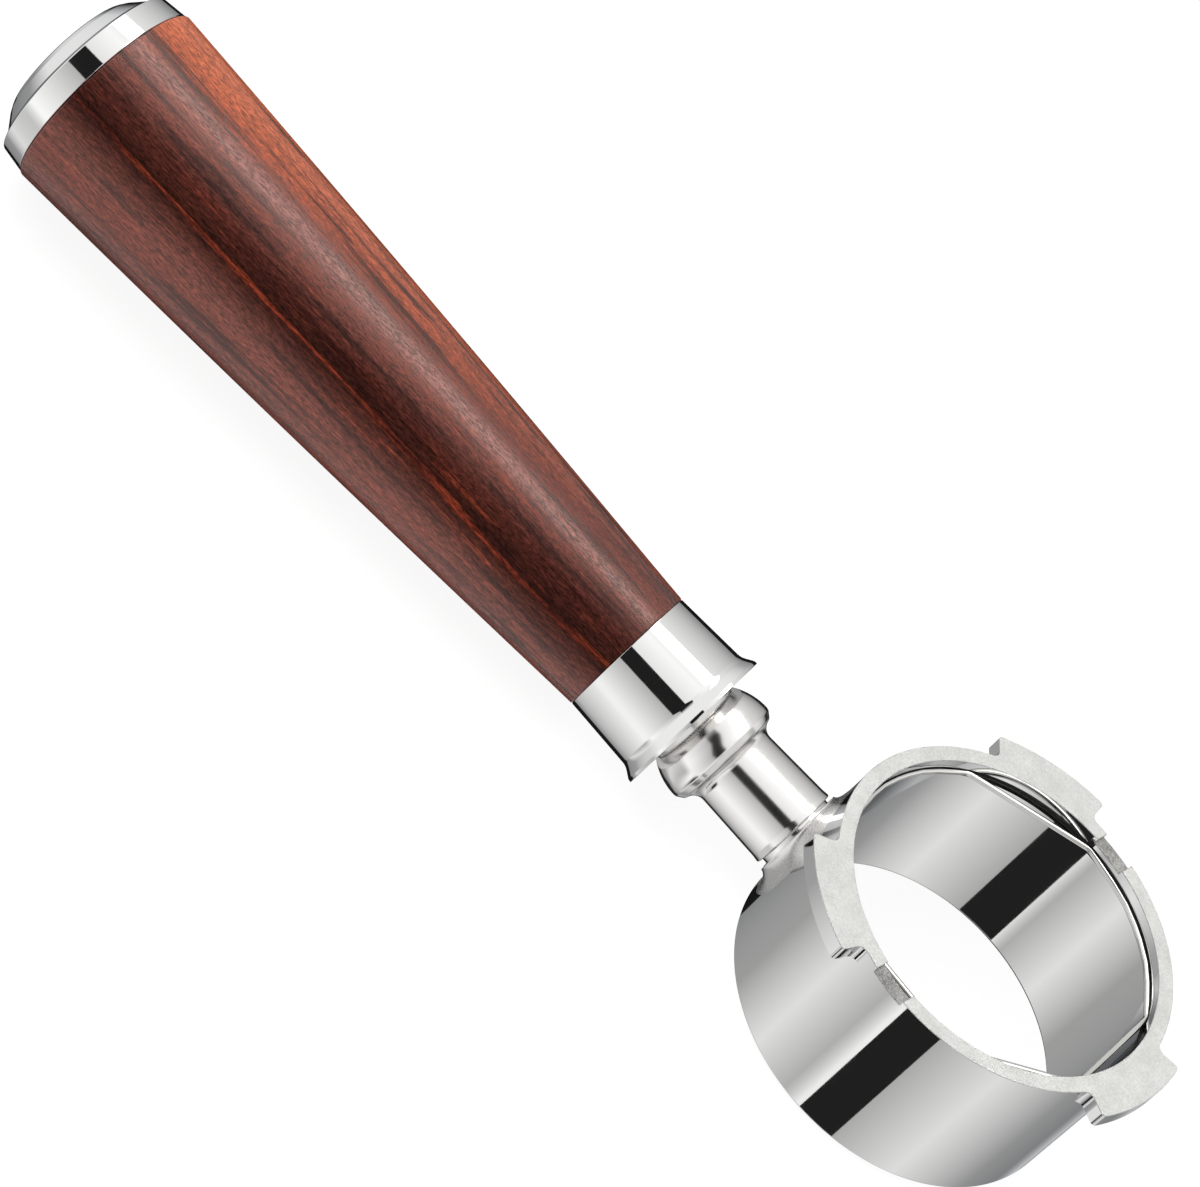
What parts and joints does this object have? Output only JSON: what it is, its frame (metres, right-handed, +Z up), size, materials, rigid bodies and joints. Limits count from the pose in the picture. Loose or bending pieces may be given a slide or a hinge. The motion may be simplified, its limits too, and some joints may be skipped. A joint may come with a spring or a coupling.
{
  "type": "bottomless portafilter",
  "caption": "Open-bottomed portafilter: bayonet ring with a basket-holding wire spring, welded stem and screw-on turned wooden handle with metal end cap.",
  "frame": {"origin": "on the axis of the head ring, at the ring's bottom face", "axes": "+Z up along the ring's axis towards its rim, -X along the handle, +Y completes the right-handed frame"},
  "size_m": [0.2301, 0.0653, 0.0371],
  "materials": {
    "head_ring": "mirror polished, with a matt machined rim face",
    "retaining_spring": "bright drawn spring wire",
    "stem": "polished",
    "stem_stud": "rolled thread",
    "lock_washer": "plain spring steel",
    "ferrule": "mirror polished",
    "wood_handle": "oiled red-brown hardwood, satin",
    "front_insert": "turned",
    "rear_insert": "turned",
    "cap_stud": "rolled thread",
    "end_cap": "mirror polished"
  },
  "bodies": {
    "head": {"head_ring": "head_ring", "stem": "stem", "stem_stud": "stem_stud"},
    "spring": {"retaining_spring": "retaining_spring"},
    "washer": {"lock_washer": "lock_washer"},
    "handle": {"ferrule": "ferrule", "wood_handle": "wood_handle", "front_insert": "front_insert", "rear_insert": "rear_insert", "cap_stud": "cap_stud", "end_cap": "end_cap"}
  },
  "joints": [
    {"name": "spring_turn", "type": "hinge", "parent": "head", "child": "spring", "pos_m": [0, 0, 0.0283], "axis": [0, 0, 1], "continuous": true},
    {"name": "handle_back_off", "type": "slide", "parent": "head", "child": "washer", "axis": [-0.999, 0, 0.045], "range_m": [0, 0.0195]},
    {"name": "handle_unscrew", "type": "hinge", "parent": "washer", "child": "handle", "pos_m": [-0.05494, 0, 0.01347], "axis": [-0.999, 0, 0.045], "range_deg": [0, 4700]}
  ],
  "couplings": [
    {"joint": "handle_unscrew", "follows": "handle_back_off", "rad_per_m": 4188.8}
  ]
}
